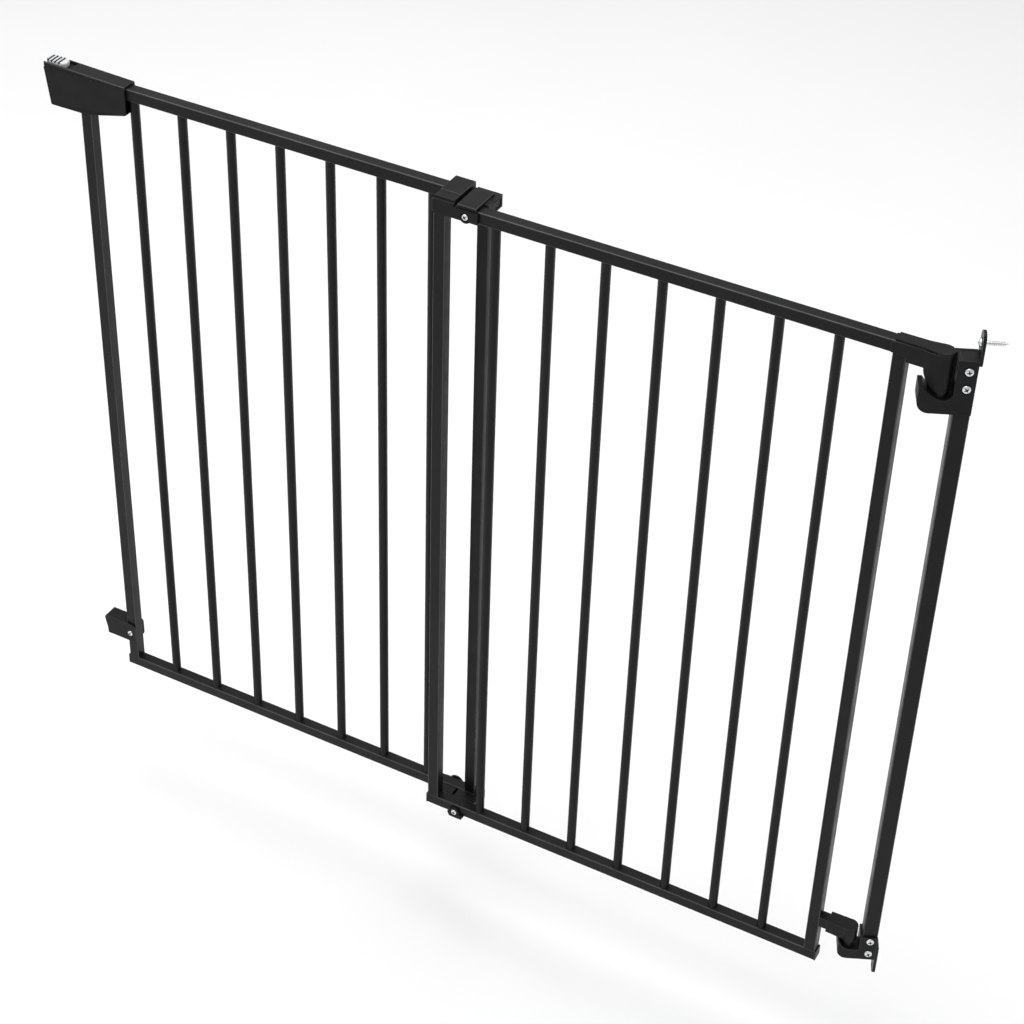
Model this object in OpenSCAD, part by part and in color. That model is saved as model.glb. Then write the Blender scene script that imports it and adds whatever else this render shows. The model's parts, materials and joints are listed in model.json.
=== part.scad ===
// Wall-mounted safety gate of two barred steel panels that telescope past each other.
//
// Three frames are used:
//   row frame   origin at the lower wall hole, on the wall face; +X into the wall, +Z up
//   wall frame  the row frame moved so that Z is the hinge axis and z = 0 is the gate's underside
//   gate frame  the wall frame turned about the hinge axis by the angle the gate stands open;
//               the gate runs from the hinge towards -X, and its front faces -Y

/* [Panels] */
// Height of each panel over its rails
panel_h = 762; // [650:1:850]
// Spacing of the bars
bar_pitch = 55.7; // [50:0.1:60]
// Outside width of the square tube
tube_w = 12.5; // [12:0.1:13]
// Wall of the square tube
tube_wall = 1; // [0.8:0.1:1.2]
// Diameter of the round bars
bar_d = 9.5; // [8:0.1:10.5]
// Wall of the round bars
bar_wall = 0.8; // [0.6:0.1:1.2]
// Distance between the middle planes of the two panels
panel_offset = 24.5; // [24:0.1:26]
// How far the two panels still overlap when the gate is fully drawn out
overlap = 32.1; // [31:0.1:34]
// Angle that the gate stands open
open_angle = 25; // [0:1:60]

/* [Hinge] */
// Hinge axis to the middle of the nearest upright
hinge_reach = 37; // [36:0.5:40]
// Hinge axis to the face of the wall
wall_gap = 31.5; // [31.5:0.5:34]
// Diameter of the hinge barrels
barrel_d = 17; // [16:0.5:17]
// Diameter of the steel hinge pins
pin_d = 6; // [5:0.5:6]
// Depth of the wall brackets, front to back
bracket_d = 19.4; // [18:0.2:22]

/* [Wall fixing] */
// Thickness of the wall plates
plate_t = 3; // [3:0.5:3]
// Width of the wall plates
plate_w = 16; // [14:0.5:18]
// Diameter of the holes for the wall screws
wall_hole_d = 5; // [4.5:0.1:5.5]
// Shank diameter of the wall screw
wall_screw_d = 4.4; // [4:0.1:4.4]
// Length of the wall screw past the wall face
wall_screw_l = 20; // [16:1:50]

/* [Latch] */
// Length of the latch housing
housing_l = 96; // [93.5:0.5:100]
// Depth of the latch housing, front to back
housing_d = 18; // [18:0.2:20]
// Wall of the latch housing
housing_wall = 1.8; // [1.5:0.1:2]
// Travel of the latch button
latch_travel = 7; // [4:0.5:7]

/* [Hidden] */
$fn = 64;

steel_black = [0.10, 0.10, 0.11];
plastic_black = [0.07, 0.07, 0.075];
button_grey = [0.72, 0.73, 0.74];
zinc = [0.75, 0.76, 0.78];
nylon = [0.06, 0.06, 0.065];
big = 200; // half size of the blocks that only cut
cut = 1;   // how far a cutting shape runs past a face

// Panels
bars = 7;
panel_cc = (bars + 1) * bar_pitch;
half = tube_w / 2;
rail_top = panel_h - tube_w;
front_y = 0;
rear_y = panel_offset;
post_x = -hinge_reach;             // hinge panel, upright beside the hinge
lap_x = post_x - panel_cc;         // hinge panel, upright where the panels overlap
inner_x = lap_x + overlap;         // latch panel, upright where the panels overlap
latch_x = inner_x - panel_cc;      // latch panel, upright beside the latch
front_face = front_y - half;
rear_face = rear_y + half;

// Wall frame
post_left = 13;
post_w = wall_gap - plate_t - post_left;
post_d = 15;
post_wall = 1.2;
post_bottom = 29;
bracket_left = 11;
bracket_right = wall_gap - plate_t;
upper_bracket_z = 705;
upper_bracket_top = panel_h - 2;
lower_bracket_z = 25;
lower_bracket_top = 56.5;
screw_d = 4;
head_d = 8;
head_h = 2.3;
small_head_d = 6.6;                // heads that sit in a sunk ring
small_head_h = 2;
ring_d = 9.2;
ring_depth = 0.8;
wall_head_d = 8.4;
wall_head_h = 2.5;
bracket_screw_x = 21.2;
bracket_screw_gap = 17.5;
upper_screw_z = 749;
lower_screw_z = 51;
upper_tab_l = 24.5;                // wall plate beyond its bracket
lower_tab_l = 25;
tab_hole_in = 13;                  // middle of the tab's hole from the bracket
lower_hole_z = lower_bracket_z - 17;
upper_hole_z = upper_bracket_top + tab_hole_in;
upper_plate_inside = 6;            // wall plate behind its bracket
lower_plate_inside = 15;

// Hinge
barrel_r = barrel_d / 2;
pin_r = pin_d / 2;
running = 0.05;                    // radial clearance of a turning or sliding shaft
bush_r = pin_r + 1.5;
flange_r = 6;
seat_r = 6.4;
arm_z = panel_h - 17.5;
tongue_left = -15.5;
tongue_z = 723.2;
tongue_arc_r = 24.3;
cup_arc_r = 29.8;
arc_x = 10;                        // both arcs share this centre
arc_z = 747.3;
cup_left = -18.6;
cup_top = 730.5;
cup_back_y = 9.1;                  // inner face of the wall that closes the cup at the back
cup_back_top = 726;
cup_floor = 718.8;
low_cup_left = -10.5;
low_cup_top = 47;
low_cup_floor = 38;
low_barrel_z = 44.5;
low_arm_z = 49;
low_arm_top = 64.5;
pin_seat = 10.5;                   // how deep each pin stands in its cup

// Guides: the hinge panel's hook over the latch panel's rails, and the caps the other way
slide_gap = 0.45;
guide_left = lap_x - 4.9;
guide_w = 21.3;
guide_plate_w = 46;
guide_screw_x = lap_x + 28.3;
top_guide_screw_z = rail_top + 5;
low_guide_screw_z = 3.3;
lip = 2;
guide_face = front_face - lip - 0.75;
screw_boss_r = 6.3;
lock_x = lap_x + 8.5;
lock_in = 5.5;                     // lock screws from the panel's top and bottom
boss_r = 8.5;
cap_left = inner_x - 12.7;
cap_w = 19.8;
cap_end = inner_x + 12.5;

// Latch housing
housing_right = latch_x + 50.9;
housing_left = housing_right - housing_l;
housing_front = rear_y - housing_d / 2;
housing_rear = rear_y + housing_d / 2;
seam_z = panel_h + 0.2;
cover_left_h = 4.8;
cover_right_h = 2;
slot_l = 31;
slot_d = 13.8;
button_l = 23;
button_d = 13.2;
housing_screw_z = 732;
housing_screw_xs = [housing_left + 24, housing_right - 22];
slider_z = panel_h - 10;
slider_top = seam_z - 0.3;
slider_right = housing_left + 23.5;
block_left = latch_x - 36;
block_z = 37.5;
block_h = 24.5;
block_screw_x = latch_x - 1.2;
block_screw_z = block_z + 11.5;
block_d = 17.5;

// ---------------------------------------------------------------- frames

module in_wall() {
    translate([-wall_gap, 0, -lower_hole_z]) children();
}

module in_gate() {
    in_wall() rotate([0, 0, -open_angle]) children();
}

// A flat outline drawn in X and Z, given a thickness from y0 to y1
module along_y(y0, y1) {
    translate([0, y1, 0]) rotate([90, 0, 0]) linear_extrude(y1 - y0) children();
}

// A block given by its lowest and highest corners
module box(low, high) {
    translate(low) cube(high - low);
}

// ---------------------------------------------------------------- fasteners

// Pan-head screw standing along Z, its head's underside at z = 0, with a cross recess
module pan_screw(shank_d, shank_l, head_d = head_d, head_h = head_h) {
    recess_w = head_d * 0.14;
    recess_l = head_d * 0.58;
    color(zinc) difference() {
        union() {
            rotate_extrude() intersection() {
                translate([0, head_h - head_d]) circle(r = head_d);
                square([head_d / 2, head_h]);
            }
            translate([0, 0, -shank_l]) cylinder(d = shank_d, h = shank_l + head_h / 2);
        }
        for (turn = [0, 90])
            rotate([0, 0, turn])
                translate([-recess_l / 2, -recess_w / 2, head_h * 0.45])
                    cube([recess_l, recess_w, head_h]);
    }
}

// A pan-head screw whose head faces the front (-Y) or the back (+Y)
module front_screw(x, y, z, shank_l) {
    translate([x, y, z]) rotate([90, 0, 0]) pan_screw(screw_d, shank_l);
}

module small_screw(x, y, z, shank_l) {
    translate([x, y, z]) rotate([90, 0, 0]) pan_screw(screw_d, shank_l, small_head_d, small_head_h);
}

module back_screw(x, y, z, shank_l) {
    translate([x, y, z]) rotate([-90, 0, 0]) pan_screw(screw_d, shank_l);
}

// The hole such a screw passes through
module screw_hole(x, y0, y1, z) {
    translate([x, y0, z]) rotate([-90, 0, 0]) cylinder(d = screw_d + 0.2, h = y1 - y0);
}

// ---------------------------------------------------------------- tubes

module rail(x0, x1, y, z) {
    color(steel_black) difference() {
        box([x0, y - half, z], [x1, y + half, z + tube_w]);
        box([x0 - cut, y - half + tube_wall, z + tube_wall],
            [x1 + cut, y + half - tube_wall, z + tube_w - tube_wall]);
    }
}

module upright(x, y) {
    inside = half - tube_wall;
    color(steel_black) difference() {
        box([x - half, y - half, tube_w], [x + half, y + half, rail_top]);
        box([x - inside, y - inside, tube_w - cut], [x + inside, y + inside, rail_top + cut]);
    }
}

module bar(first_x, y, number) {
    color(steel_black) translate([first_x + number * bar_pitch, y, tube_w]) difference() {
        cylinder(d = bar_d, h = rail_top - tube_w);
        translate([0, 0, -cut]) cylinder(d = bar_d - 2 * bar_wall, h = rail_top - tube_w + 2 * cut);
    }
}

// Plastic plug in a rail's end: side is -1 at a left end and 1 at a right end
module rail_plug(x, y, z, side) {
    flange_t = 1.8;
    spigot_l = 9;
    inside = half - tube_wall - 0.1;
    color(plastic_black) translate([x, y, z + half]) scale_side(side) {
        box([0, -half, -half], [flange_t, half, half]);
        box([-spigot_l, -inside, -inside], [0, inside, inside]);
    }
}

module scale_side(side) {
    mirror([side < 0 ? 1 : 0, 0, 0]) children();
}

// ---------------------------------------------------------------- wall frame

module wall_post() {
    top = upper_bracket_top - 2;
    color(steel_black) in_wall() difference() {
        box([post_left, -post_d / 2, post_bottom], [post_left + post_w, post_d / 2, top]);
        box([post_left + post_wall, -post_d / 2 + post_wall, post_bottom - cut],
            [post_left + post_w - post_wall, post_d / 2 - post_wall, top + cut]);
        bracket_screw_places() screw_hole(0, -post_d / 2 - cut, -post_d / 2 + post_wall + cut, 0);
    }
}

module wall_post_cap() {
    top = upper_bracket_top - 2;
    inside = post_wall + 0.1;
    color(plastic_black) in_wall() {
        box([post_left, -post_d / 2, top], [post_left + post_w, post_d / 2, top + 1.6]);
        box([post_left + inside, -post_d / 2 + inside, top - 6],
            [post_left + post_w - inside, post_d / 2 - inside, top]);
    }
}

// The four places where a bracket is screwed to the post
module bracket_screw_places() {
    for (z = [upper_screw_z, upper_screw_z - bracket_screw_gap,
              lower_screw_z, lower_screw_z - bracket_screw_gap])
        translate([bracket_screw_x, 0, z]) children();
}

module bracket_cuts(floor_z) {
    // channel for the post, open towards the wall
    box([post_left, -post_d / 2, floor_z], [bracket_right + cut, post_d / 2, upper_bracket_top + cut]);
    // screw holes with seats for their heads
    bracket_screw_places() {
        screw_hole(0, -bracket_d / 2 - cut, -post_d / 2 + cut, 0);
        translate([0, -bracket_d / 2 + 0.7, 0]) rotate([90, 0, 0]) cylinder(d = head_d + 2.4, h = 2);
    }
}

// Outline of the foot under the upper barrel: a quarter-round corner and a rising left horn
module upper_foot() {
    corner_r = 11;
    difference() {
        union() {
            translate([cup_left + corner_r, upper_bracket_z])
                square([bracket_left - cup_left - corner_r + cut, cup_top - upper_bracket_z]);
            translate([cup_left, upper_bracket_z + corner_r])
                square([corner_r + cut, cup_top - upper_bracket_z - corner_r]);
            translate([cup_left + corner_r, upper_bracket_z + corner_r]) circle(r = corner_r);
        }
        upper_cup();
    }
}

// The U-shaped space that the upper tongue turns in
module upper_cup() {
    fillet_r = 7;
    difference() {
        intersection() {
            translate([arc_x, arc_z]) circle(r = cup_arc_r, $fn = 128);
            translate([-big, cup_floor]) square([big + bracket_left, big]);
        }
        difference() {
            translate([bracket_left - fillet_r, cup_floor - cut])
                square([fillet_r + cut, fillet_r + cut]);
            translate([bracket_left - fillet_r, cup_floor + fillet_r]) circle(r = fillet_r);
        }
    }
}

module upper_wall_bracket() {
    back_wall_t = 1.6;
    rib_gap = 0.4;
    color(plastic_black) in_wall() difference() {
        union() {
            box([bracket_left, -bracket_d / 2, upper_bracket_z],
                [bracket_right, bracket_d / 2, upper_bracket_top]);
            along_y(-bracket_d / 2, bracket_d / 2) upper_foot();
            // low wall behind the cup
            box([cup_left + 3, cup_back_y, cup_floor - 4],
                [bracket_left + cut, cup_back_y + back_wall_t, cup_back_top]);
            // rib that closes the gap beside the barrel
            box([barrel_r + rib_gap, 3, cup_floor - cut],
                [bracket_left + cut, bracket_d / 2, upper_bracket_top]);
        }
        bracket_cuts(upper_bracket_z - cut);
        bush_seat(cup_floor);
    }
}

module lower_foot() {
    corner_r = 10.4;
    difference() {
        union() {
            translate([low_cup_left + corner_r, lower_bracket_z])
                square([bracket_left - low_cup_left - corner_r + cut, low_cup_top - lower_bracket_z]);
            translate([low_cup_left, lower_bracket_z + corner_r])
                square([corner_r + cut, low_cup_top - lower_bracket_z - corner_r]);
            translate([low_cup_left + corner_r, lower_bracket_z + corner_r]) circle(r = corner_r);
        }
        lower_cup();
    }
}

module lower_cup() {
    arc_r = 12.5;
    centre_x = 3;
    translate([centre_x, low_cup_floor + arc_r]) circle(r = arc_r);
    translate([centre_x, low_cup_floor]) square([bracket_left - centre_x, big]);
}

module lower_wall_bracket() {
    color(plastic_black) in_wall() difference() {
        union() {
            box([bracket_left, -bracket_d / 2, lower_bracket_z],
                [bracket_right, bracket_d / 2, lower_bracket_top]);
            along_y(-bracket_d / 2, bracket_d / 2) lower_foot();
        }
        bracket_cuts(post_bottom);
        bush_seat(low_cup_floor);
    }
}

// The bush's bore and the flat ring that its flange stands on
module bush_seat(floor_z) {
    depth = 11.8;
    translate([0, 0, floor_z - depth]) cylinder(r = bush_r + running, h = depth + cut);
    translate([0, 0, floor_z]) cylinder(r = seat_r, h = 10);
}

// Steel plate welded to the back of the post: its tab stands out past the bracket
module wall_plate(z0, z1, hole_z, round_z) {
    x0 = wall_gap - plate_t;
    r = plate_w / 2;
    color(steel_black) in_wall() difference() {
        union() {
            box([x0, -r, min(z0, z1)], [wall_gap, r, max(z0, z1)]);
            translate([x0, 0, round_z]) rotate([0, 90, 0]) cylinder(r = r, h = plate_t);
        }
        translate([x0 - cut, 0, hole_z]) rotate([0, 90, 0])
            cylinder(d = wall_hole_d, h = plate_t + 2 * cut);
    }
}

module upper_wall_plate() {
    tip = upper_bracket_top + upper_tab_l - plate_w / 2;
    wall_plate(upper_bracket_top - upper_plate_inside, tip, upper_hole_z, tip);
}

module lower_wall_plate() {
    tip = lower_bracket_z - lower_tab_l + plate_w / 2;
    wall_plate(lower_bracket_z + lower_plate_inside, tip, lower_hole_z, tip);
}

module bracket_screws() {
    in_wall() bracket_screw_places() front_screw(0, -bracket_d / 2 + 0.7, 0, 9);
}

// A slimmer neck passes through the plate; the full shank starts at the face of the wall
module wall_screw() {
    neck_d = wall_screw_d - 1.4;
    in_wall() translate([wall_gap - plate_t, 0, upper_hole_z]) rotate([0, -90, 0]) {
        pan_screw(neck_d, plate_t + cut, wall_head_d, wall_head_h);
        color(zinc) translate([0, 0, -plate_t - wall_screw_l]) cylinder(d = wall_screw_d, h = wall_screw_l);
    }
}

// ---------------------------------------------------------------- hinge

// Flanged bush: its sleeve turns in the foot and its flange carries the barrel
module hinge_bush(floor_z, barrel_z) {
    sleeve = 11.3;
    color(nylon) in_gate() difference() {
        union() {
            translate([0, 0, floor_z - sleeve]) cylinder(r = bush_r, h = sleeve + cut);
            translate([0, 0, floor_z]) cylinder(r = flange_r, h = barrel_z - floor_z);
        }
        translate([0, 0, floor_z - sleeve - cut])
            cylinder(r = pin_r + running, h = sleeve + barrel_z - floor_z + 2 * cut);
    }
}

module upper_hinge_bush() {
    hinge_bush(cup_floor, tongue_z);
}

module lower_hinge_bush() {
    hinge_bush(low_cup_floor, low_barrel_z);
}

module hinge_pin(z0, z1) {
    chamfer = 0.8;
    color(zinc) in_gate() {
        translate([0, 0, z0]) cylinder(r1 = pin_r - chamfer, r2 = pin_r, h = chamfer);
        translate([0, 0, z0 + chamfer]) cylinder(r = pin_r, h = z1 - z0 - chamfer);
    }
}

module upper_hinge_pin() {
    hinge_pin(cup_floor - pin_seat, panel_h - 6);
}

module lower_hinge_pin() {
    hinge_pin(low_cup_floor - pin_seat, low_arm_top - 4);
}

// Outline of the upper arm seen from above, widening from the post to the barrel
module arm_plan(start, half_w) {
    circle(r = barrel_r);
    polygon([
        [start, -half_w], [tongue_left, -half_w], [tongue_left + 4, -barrel_r], [0, -barrel_r],
        [0, barrel_r], [tongue_left + 4, barrel_r], [tongue_left, half_w], [start, half_w]
    ]);
}

// Front outline of the tongue that hangs into the cup
module tongue_front() {
    corner_r = 5;
    intersection() {
        translate([arc_x, arc_z]) circle(r = tongue_arc_r, $fn = 128);
        union() {
            translate([-big, tongue_z]) square([big + barrel_r - corner_r, big]);
            translate([-big, tongue_z + corner_r]) square([big + barrel_r, big]);
            translate([barrel_r - corner_r, tongue_z + corner_r]) circle(r = corner_r);
        }
    }
}

module upper_hinge_arm() {
    arm_half = half + 0.75;
    cheek_l = 14;
    spigot_l = 25;
    inside = half - tube_wall - 0.1;
    color(plastic_black) in_gate() difference() {
        union() {
            // arm, level with the top rail
            translate([0, 0, arm_z]) linear_extrude(panel_h - arm_z)
                arm_plan(post_x + half, arm_half);
            // tongue
            intersection() {
                along_y(-big, big) tongue_front();
                translate([0, 0, tongue_z]) linear_extrude(arm_z - tongue_z + cut) {
                    circle(r = barrel_r);
                    translate([tongue_left, -barrel_r]) square([-tongue_left, barrel_d]);
                }
            }
            // round seat that stands on the bush
            translate([0, 0, tongue_z]) cylinder(r = flange_r - 0.4, h = 10);
            // cheeks that straddle the rail's end
            for (side = [-1, 1])
                translate([post_x + half - cheek_l, side > 0 ? half : -arm_half, rail_top + 0.5])
                    cube([cheek_l + cut, arm_half - half, tube_w - 0.5]);
            // spigot in the rail's end
            box([post_x + half - spigot_l, -inside, rail_top + half - inside],
                [post_x + half + cut, inside, rail_top + half + inside]);
        }
        translate([0, 0, tongue_z - cut]) cylinder(r = pin_r, h = panel_h - 6 - tongue_z + cut);
    }
}

module upper_hinge_cover() {
    cover_h = 2.2;
    cover_l = 42;
    inset = 0.4;
    color(plastic_black) in_gate() translate([0, 0, panel_h]) linear_extrude(cover_h) {
        circle(r = barrel_r);
        polygon([
            [-cover_l, -half + inset], [tongue_left, -half], [-2, -barrel_r + 0.2],
            [-2, barrel_r - 0.2], [tongue_left, half], [-cover_l, half - inset]
        ]);
    }
}

module lower_hinge_arm() {
    neck_end = -22.5;
    neck_half = 5.6;
    body_half = 7.6;
    tenon_r = 4;
    tenon_l = 9;
    cone_h = 2.5;
    color(plastic_black) in_gate() difference() {
        union() {
            box([post_x + half, -neck_half, low_arm_z + 1.3], [neck_end + cut, neck_half, low_arm_top - 1.6]);
            translate([0, 0, low_arm_z]) linear_extrude(low_arm_top - low_arm_z) polygon([
                [neck_end, -body_half], [-3, -barrel_r + 0.2],
                [-3, barrel_r - 0.2], [neck_end, body_half]
            ]);
            translate([0, 0, low_barrel_z]) cylinder(r1 = barrel_r - 2, r2 = barrel_r, h = cone_h);
            translate([0, 0, low_barrel_z + cone_h])
                cylinder(r = barrel_r, h = low_arm_top - low_barrel_z - cone_h);
            // tenon through the post's wall
            translate([post_x + half - tenon_l, 0, (low_arm_z + low_arm_top) / 2])
                rotate([0, 90, 0]) cylinder(r = tenon_r, h = tenon_l + cut);
        }
        translate([0, 0, low_barrel_z - cut]) cylinder(r = pin_r, h = low_arm_top - 4 - low_barrel_z + cut);
    }
}

// ---------------------------------------------------------------- hinge panel

module hinge_top_rail() {
    in_gate() difference() {
        rail(lap_x - half, post_x + half, front_y, rail_top);
        screw_hole(guide_screw_x, front_face - cut, front_face + tube_wall + cut, top_guide_screw_z);
    }
}

module hinge_bottom_rail() {
    in_gate() difference() {
        rail(lap_x - half, post_x + half, front_y, 0);
        screw_hole(guide_screw_x, front_face - cut, front_face + tube_wall + cut, low_guide_screw_z);
    }
}

module hinge_left_upright() {
    in_gate() upright(lap_x, front_y);
}

module hinge_right_upright() {
    in_gate() difference() {
        upright(post_x, front_y);
        translate([post_x, 0, (low_arm_z + low_arm_top) / 2]) rotate([0, 90, 0])
            cylinder(r = 4, h = half + cut);
    }
}

module hinge_rail_plugs() {
    in_gate() {
        rail_plug(lap_x - half, front_y, rail_top, -1);
        rail_plug(lap_x - half, front_y, 0, -1);
        rail_plug(post_x + half, front_y, 0, 1);
    }
}

// Hook of a guide over the other panel's rail, drawn for the top rails. Over the front rail its
// slab has its own height and starts at slab_front.
module guide_hook(slab_front_h, slab_front) {
    roof = panel_h + slide_gap;
    floor_z = rail_top + 0.7;
    slab_rear_h = 5.5;
    // slab, higher over the rear rail
    box([guide_left, 5, roof], [guide_left + guide_w, rear_face + slide_gap + lip, panel_h + slab_rear_h]);
    box([guide_left, slab_front, panel_h],
        [guide_left + guide_w, 5 + cut, panel_h + slab_front_h]);
    // web between the rails
    box([guide_left, half, floor_z], [guide_left + guide_w, rear_y - half - slide_gap, roof + cut]);
    // lip behind the rear rail, with a round boss for the lock screw
    box([guide_left, rear_face + slide_gap, rail_top + 3],
        [guide_left + guide_w, rear_face + slide_gap + lip, panel_h + cut]);
    translate([lock_x, rear_face + slide_gap, panel_h - lock_in]) rotate([-90, 0, 0])
        cylinder(r = boss_r, h = lip);
}

// Sunk ring that a small head sits in, in a face that looks to the front
module head_ring(x, face_y, z) {
    translate([x, face_y + ring_depth, z]) rotate([90, 0, 0]) cylinder(d = ring_d, h = ring_depth + cut);
}

module top_guide() {
    color(plastic_black) in_gate() difference() {
        union() {
            guide_hook(5, front_face - 0.6);
            // front plate with a round boss under the fixing screw
            box([guide_left, guide_face, rail_top + 0.5],
                [guide_left + guide_w, front_face, panel_h + 2.5]);
            box([guide_left, guide_face, rail_top + 0.5],
                [guide_left + guide_plate_w, front_face, panel_h - 0.4]);
            translate([guide_screw_x, front_face, top_guide_screw_z]) rotate([90, 0, 0])
                cylinder(r = screw_boss_r, h = front_face - guide_face);
        }
        screw_hole(guide_screw_x, front_face - 2 * lip, front_face + cut, top_guide_screw_z);
        head_ring(guide_screw_x, guide_face, top_guide_screw_z);
        lock_hole(panel_h - lock_in);
    }
}

module lock_hole(z) {
    screw_hole(lock_x, rear_face, rear_face + slide_gap + lip + cut, z);
}

module bottom_guide() {
    lug_drop = 4;
    lug_left = guide_screw_x - 8.2;
    lug_right = guide_screw_x + 11.7;
    set_back = 3.5;
    ledge_rear = -1.8;
    color(plastic_black) in_gate() difference() {
        union() {
            translate([0, 0, panel_h]) mirror([0, 0, 1]) guide_hook(2.5, front_face + set_back);
            // ledge under the front rail that carries the lug
            box([guide_left + guide_w - 4, front_face + set_back, -2.5], [lug_right - 3, ledge_rear, 0]);
            box([lug_left + 2.4, front_face - cut, -2.5], [lug_right - 3, front_face + set_back + cut, 0]);
            // front lug with an arched boss
            along_y(guide_face, front_face) {
                polygon([
                    [lug_left, 1.5], [lug_left + 2.4, -lug_drop],
                    [lug_right - 3, -lug_drop], [lug_right, 1.5]
                ]);
                translate([guide_screw_x, low_guide_screw_z]) circle(r = screw_boss_r);
            }
        }
        screw_hole(guide_screw_x, front_face - 2 * lip, front_face + cut, low_guide_screw_z);
        head_ring(guide_screw_x, guide_face, low_guide_screw_z);
        lock_hole(lock_in);
    }
}

module guide_screws() {
    in_gate() for (z = [top_guide_screw_z, low_guide_screw_z])
        small_screw(guide_screw_x, guide_face + ring_depth, z, 6);
}

module width_lock_screws() {
    in_gate() for (z = [lock_in, panel_h - lock_in])
        back_screw(lock_x, rear_face + slide_gap + lip, z, lip);
}

// ---------------------------------------------------------------- latch panel

module latch_top_rail() {
    in_gate() rail(latch_x - half, inner_x + half, rear_y, rail_top);
}

module latch_bottom_rail() {
    in_gate() rail(latch_x - half, inner_x + half, rear_y, 0);
}

module latch_left_upright() {
    in_gate() difference() {
        upright(latch_x, rear_y);
        screw_hole(block_screw_x, rear_y - half - cut, rear_y - half + tube_wall + cut, block_screw_z);
    }
}

module latch_right_upright() {
    in_gate() upright(inner_x, rear_y);
}

module latch_rail_plugs() {
    in_gate() {
        rail_plug(latch_x - half, rear_y, rail_top, -1);
        rail_plug(latch_x - half, rear_y, 0, -1);
    }
}

// Cap on the inner end of a latch-panel rail, with a slab that reaches over the other panel's
// rail as far as slab_front
module slide_cap(slab_front) {
    roof = panel_h + slide_gap;
    wall = 1.2;
    slab_top = panel_h + 3.7;
    floor_z = rail_top + 0.7;
    recess = 0.7;
    difference() {
        union() {
            box([cap_left, slab_front, roof], [cap_left + cap_w, rear_face - 4, slab_top]);
            box([cap_left, half + slide_gap, floor_z], [cap_end, rear_y - half, roof + cut]);
            box([cap_left, half + slide_gap, panel_h], [cap_end, rear_face + wall, panel_h + wall]);
            box([cap_left, rear_face, floor_z], [cap_end, rear_face + wall, panel_h + wall]);
            box([inner_x + half, rear_y - half - cut, floor_z], [cap_end, rear_face + wall, panel_h + wall]);
        }
        // shallow pocket in the end face
        box([cap_end - recess, rear_y - half, rail_top + 3], [cap_end + cut, rear_face - 1, panel_h - 2]);
    }
}

module top_slide_cap() {
    color(plastic_black) in_gate() slide_cap(front_face - lip);
}

module bottom_slide_cap() {
    color(plastic_black) in_gate() translate([0, 0, panel_h]) mirror([0, 0, 1]) slide_cap(-0.8);
}

// Lower catch: a block that clamps round the upright and slides into the catch on the wall
module catch_block() {
    lug_right = latch_x + half;
    corner_r = 5;
    top = block_z + block_h;
    fit = 0.05;
    color(plastic_black) in_gate() difference() {
        along_y(rear_y - block_d / 2, rear_y + block_d / 2) {
            polygon([
                [block_left, top - 1.8], [block_left + 3, block_z + 8.5], [block_left + 3.6, block_z],
                [lug_right - corner_r, block_z], [lug_right - corner_r, top],
                [block_left + 1.2, top]
            ]);
            translate([lug_right - 2 * corner_r, block_z + corner_r])
                square([2 * corner_r, block_h - 2 * corner_r]);
            translate([lug_right - corner_r, top - corner_r]) circle(r = corner_r);
            translate([lug_right - corner_r, block_z + corner_r]) circle(r = corner_r);
        }
        box([latch_x - half - fit, rear_y - half - fit, block_z - cut],
            [lug_right + cut, rear_y + half + fit, top + cut]);
        screw_hole(block_screw_x, rear_y - block_d / 2 - cut, rear_y, block_screw_z);
        head_ring(block_screw_x, rear_y - block_d / 2, block_screw_z);
    }
}

module catch_block_screw() {
    in_gate() small_screw(block_screw_x, rear_y - block_d / 2 + ring_depth, block_screw_z, 6);
}

// Side outline of the latch housing: inset draws in its left and bottom edges, and past pushes
// its right and top edges out
module housing_side(inset, past) {
    right = housing_right + past;
    lean = 5.5;           // how far the left edge slopes in towards the bottom
    bottom = 721.6;
    rise_mid = 4.4;       // the underside rises in two steps towards the right
    rise_right = 12.4;
    polygon([
        [housing_left + inset, panel_h + past],
        [housing_left + inset, panel_h],
        [housing_left + lean + inset, bottom + inset],
        [latch_x - 2, bottom + 0.4 + inset],
        [latch_x + 20, bottom + rise_mid + inset],
        [right, bottom + rise_right + inset],
        [right, panel_h + past]
    ]);
}

module housing_shell() {
    ledge_z = slider_z - 2.3;
    mouth_z = 729;
    mouth_h = 18;
    color(plastic_black) difference() {
        union() {
            difference() {
                along_y(housing_front, housing_rear) housing_side(0, 0);
                along_y(housing_front + housing_wall, housing_rear - housing_wall)
                    housing_side(housing_wall, 3);
            }
            // ledges that carry the slider
            for (y = [housing_front + housing_wall - cut, housing_rear - housing_wall - 1.6])
                box([housing_left + 4, y, ledge_z], [latch_x - half - 2, y + 1.6 + cut, ledge_z + 2]);
        }
        // mouth for the catch on the wall
        box([housing_left - cut, rear_y - 5, mouth_z], [housing_left + 9, rear_y + 5, mouth_z + mouth_h]);
        // opening for the upright
        box([latch_x - half, rear_y - half, 700], [latch_x + half, rear_y + half, 740]);
        // holes for the two shell screws
        for (x = housing_screw_xs)
            screw_hole(x, rear_y - 3, housing_rear + cut, housing_screw_z);
    }
    // screw posts, one piece with the shells
    color(plastic_black) for (x = housing_screw_xs)
        difference() {
            translate([x, housing_front + 1, housing_screw_z]) rotate([-90, 0, 0])
                cylinder(r = 3.6, h = housing_d - 2);
            screw_hole(x, rear_y - 3, housing_rear + cut, housing_screw_z);
        }
}

module latch_housing_front() {
    in_gate() intersection() {
        housing_shell();
        box([-2000, -big, 0], [0, rear_y, 1000]);
    }
}

module latch_housing_rear() {
    in_gate() intersection() {
        housing_shell();
        box([-2000, rear_y, 0], [0, big, 1000]);
    }
}

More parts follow.
